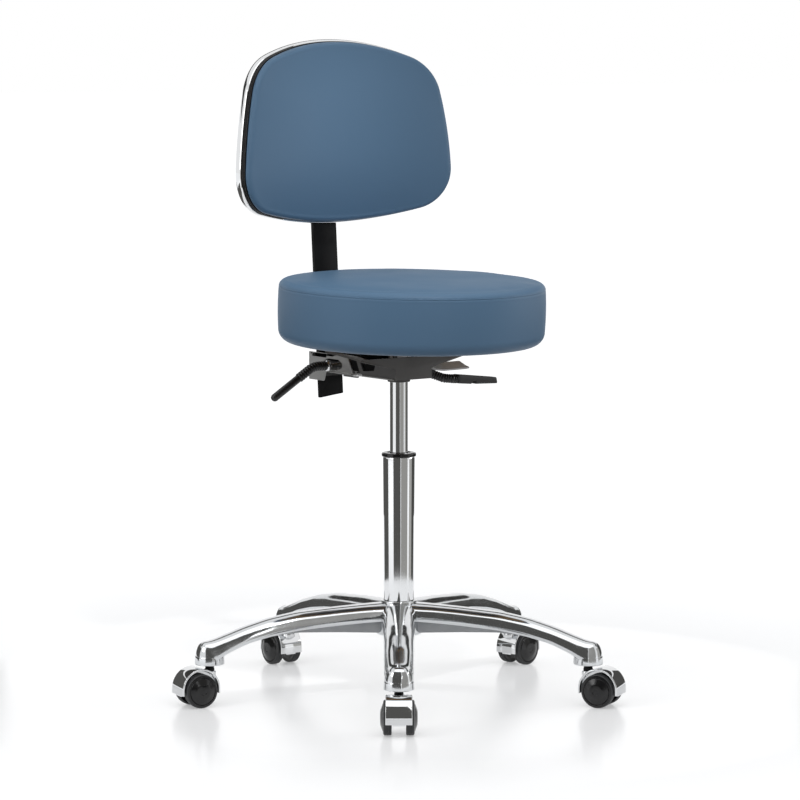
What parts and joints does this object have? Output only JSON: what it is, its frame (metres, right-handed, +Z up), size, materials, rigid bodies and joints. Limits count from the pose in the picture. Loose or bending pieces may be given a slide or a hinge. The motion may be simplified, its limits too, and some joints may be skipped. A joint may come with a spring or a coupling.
{
  "type": "medical stool with backrest",
  "caption": "Height-adjustable clinic stool with a round padded seat, padded backrest on an upright bar, gas column, lever mechanism and a star base on twin-wheel casters.",
  "frame": {"origin": "on the floor, on the column's axis", "axes": "+Z up the column, the sitter faces -Y, +X to the sitter's left"},
  "size_m": [0.6951, 0.6684, 1.0147],
  "materials": {
    "polished_aluminium": "polished",
    "chrome": "polished",
    "bare_steel": "satin",
    "black_steel": "satin",
    "grey_steel": "satin",
    "black_plastic": "matte",
    "black_rubber": "matte",
    "caster_wheel": "satin",
    "blue_vinyl": "smooth vinyl",
    "plywood": "raw"
  },
  "bodies": {
    "base": {"star_base": "polished_aluminium", "column_tube": "chrome", "guide_bush": "black_plastic", "thrust_bearing": "bare_steel"},
    "spindle": {"piston_rod": "bare_steel", "rod_clip": "bare_steel", "piston": "bare_steel"},
    "lift": {"gas_cylinder": "chrome", "taper_socket": "black_steel", "mechanism_housing": "black_steel", "tilt_axle": "bare_steel", "back_axle": "bare_steel"},
    "valve": {"valve_pin": "bare_steel"},
    "seat": {"seat_plate": "black_steel", "seat_board": "plywood", "seat_bolts": "bare_steel", "seat_cushion": "blue_vinyl"},
    "lever_height": {"height_lever": "grey_steel"},
    "lever_tilt": {"tilt_lever": "bare_steel", "tilt_lever_boot": "black_rubber", "tilt_lever_paddle": "black_plastic"},
    "bracket": {"back_bracket": "grey_steel", "bar_guide": "black_plastic"},
    "lever_back": {"back_lever": "bare_steel", "back_lever_boot": "black_rubber", "back_lever_grip": "black_rubber"},
    "knob": {"tension_knob": "bare_steel"},
    "backrest": {"back_bar": "black_steel", "backrest_bracket": "black_steel", "backrest_shell": "black_plastic", "backrest_trim": "chrome", "backrest_gasket": "black_rubber", "backrest_board": "plywood", "backrest_pad": "blue_vinyl", "backrest_screws": "bare_steel"},
    "caster_1": {"caster_1_hood": "chrome", "caster_1_stem": "black_steel", "caster_1_axle": "bare_steel"},
    "caster_1_left": {"caster_1_wheel_left": "caster_wheel"},
    "caster_1_right": {"caster_1_wheel_right": "caster_wheel"},
    "caster_2": {"caster_2_hood": "chrome", "caster_2_stem": "black_steel", "caster_2_axle": "bare_steel"},
    "caster_2_left": {"caster_2_wheel_left": "caster_wheel"},
    "caster_2_right": {"caster_2_wheel_right": "caster_wheel"},
    "caster_3": {"caster_3_hood": "chrome", "caster_3_stem": "black_steel", "caster_3_axle": "bare_steel"},
    "caster_3_left": {"caster_3_wheel_left": "caster_wheel"},
    "caster_3_right": {"caster_3_wheel_right": "caster_wheel"},
    "caster_4": {"caster_4_hood": "chrome", "caster_4_stem": "black_steel", "caster_4_axle": "bare_steel"},
    "caster_4_left": {"caster_4_wheel_left": "caster_wheel"},
    "caster_4_right": {"caster_4_wheel_right": "caster_wheel"},
    "caster_5": {"caster_5_hood": "chrome", "caster_5_stem": "black_steel", "caster_5_axle": "bare_steel"},
    "caster_5_left": {"caster_5_wheel_left": "caster_wheel"},
    "caster_5_right": {"caster_5_wheel_right": "caster_wheel"}
  },
  "joints": [
    {"name": "seat_swivel", "type": "hinge", "parent": "base", "child": "spindle", "pos_m": [0, 0, 0.1], "axis": [0, 0, 1], "continuous": true},
    {"name": "seat_height", "type": "slide", "parent": "spindle", "child": "lift", "axis": [0, 0, 1], "range_m": [-0.1, 0.085]},
    {"name": "seat_tilt", "type": "hinge", "parent": "lift", "child": "seat", "pos_m": [0, -0.027, 0.53], "axis": [1, 0, 0], "range_deg": [-3.5, 4]},
    {"name": "back_angle", "type": "hinge", "parent": "lift", "child": "bracket", "pos_m": [0, 0.042, 0.51], "axis": [-1, 0, 0], "range_deg": [-3, 12]},
    {"name": "back_height", "type": "slide", "parent": "bracket", "child": "backrest", "axis": [0, 0.068, 0.9977], "range_m": [-0.04, 0.03]},
    {"name": "height_lever_lift", "type": "hinge", "parent": "lift", "child": "lever_height", "pos_m": [0.027, -0.002, 0.507], "axis": [0, -1, 0], "range_deg": [0, 7], "stiffness_Nm_per_rad": 1.5, "springref_deg": -8.59},
    {"name": "valve_press", "type": "slide", "parent": "lift", "child": "valve", "axis": [0, 0, -1], "range_m": [0, 0.0037]},
    {"name": "tilt_lever_lift", "type": "hinge", "parent": "lift", "child": "lever_tilt", "pos_m": [0.018, -0.028, 0.503], "axis": [0, -1, 0], "range_deg": [0, 5], "stiffness_Nm_per_rad": 1.5, "springref_deg": -8.59},
    {"name": "back_lever_lift", "type": "hinge", "parent": "bracket", "child": "lever_back", "pos_m": [-0.014, 0.13, 0.506], "axis": [0, 1, 0], "range_deg": [0, 10], "stiffness_Nm_per_rad": 1.5, "springref_deg": -8.59},
    {"name": "tension_knob_turn", "type": "hinge", "parent": "bracket", "child": "knob", "pos_m": [0, 0.1, 0.49], "axis": [0, 0, 1], "range_deg": [-270, 270]},
    {"name": "caster_1_swivel", "type": "hinge", "parent": "base", "child": "caster_1", "pos_m": [-0.18355, -0.24358, 0.06], "axis": [0, 0, 1], "continuous": true},
    {"name": "caster_1_left_roll", "type": "hinge", "parent": "caster_1", "child": "caster_1_left", "pos_m": [-0.1974, -0.26195, 0.026], "axis": [0.7986, -0.6018, 0], "continuous": true},
    {"name": "caster_1_right_roll", "type": "hinge", "parent": "caster_1", "child": "caster_1_right", "pos_m": [-0.1974, -0.26195, 0.026], "axis": [0.7986, -0.6018, 0], "continuous": true},
    {"name": "caster_2_swivel", "type": "hinge", "parent": "base", "child": "caster_2", "pos_m": [0.17494, -0.24984, 0.06], "axis": [0, 0, 1], "continuous": true},
    {"name": "caster_2_left_roll", "type": "hinge", "parent": "caster_2", "child": "caster_2_left", "pos_m": [0.18574, -0.27015, 0.026], "axis": [0.8829, 0.4695, 0], "continuous": true},
    {"name": "caster_2_right_roll", "type": "hinge", "parent": "caster_2", "child": "caster_2_right", "pos_m": [0.18574, -0.27015, 0.026], "axis": [0.8829, 0.4695, 0], "continuous": true},
    {"name": "caster_3_swivel", "type": "hinge", "parent": "base", "child": "caster_3", "pos_m": [0.29167, 0.08917, 0.06], "axis": [0, 0, 1], "continuous": true},
    {"name": "caster_3_left_roll", "type": "hinge", "parent": "caster_3", "child": "caster_3_left", "pos_m": [0.31425, 0.09356, 0.026], "axis": [-0.1908, 0.9816, 0], "continuous": true},
    {"name": "caster_3_right_roll", "type": "hinge", "parent": "caster_3", "child": "caster_3_right", "pos_m": [0.31425, 0.09356, 0.026], "axis": [-0.1908, 0.9816, 0], "continuous": true},
    {"name": "caster_4_swivel", "type": "hinge", "parent": "base", "child": "caster_4", "pos_m": [0.00532, 0.30495, 0.06], "axis": [0, 0, 1], "continuous": true},
    {"name": "caster_4_left_roll", "type": "hinge", "parent": "caster_4", "child": "caster_4_left", "pos_m": [0.00613, 0.32794, 0.026], "axis": [-0.9994, 0.0349, 0], "continuous": true},
    {"name": "caster_4_right_roll", "type": "hinge", "parent": "caster_4", "child": "caster_4_right", "pos_m": [0.00613, 0.32794, 0.026], "axis": [-0.9994, 0.0349, 0], "continuous": true},
    {"name": "caster_5_swivel", "type": "hinge", "parent": "base", "child": "caster_5", "pos_m": [-0.28838, 0.0993, 0.06], "axis": [0, 0, 1], "continuous": true},
    {"name": "caster_5_left_roll", "type": "hinge", "parent": "caster_5", "child": "caster_5_left", "pos_m": [-0.31116, 0.1025, 0.026], "axis": [-0.1392, -0.9903, 0], "continuous": true},
    {"name": "caster_5_right_roll", "type": "hinge", "parent": "caster_5", "child": "caster_5_right", "pos_m": [-0.31116, 0.1025, 0.026], "axis": [-0.1392, -0.9903, 0], "continuous": true}
  ],
  "couplings": [
    {"joint": "valve_press", "follows": "height_lever_lift", "m_per_rad": 0.03}
  ]
}
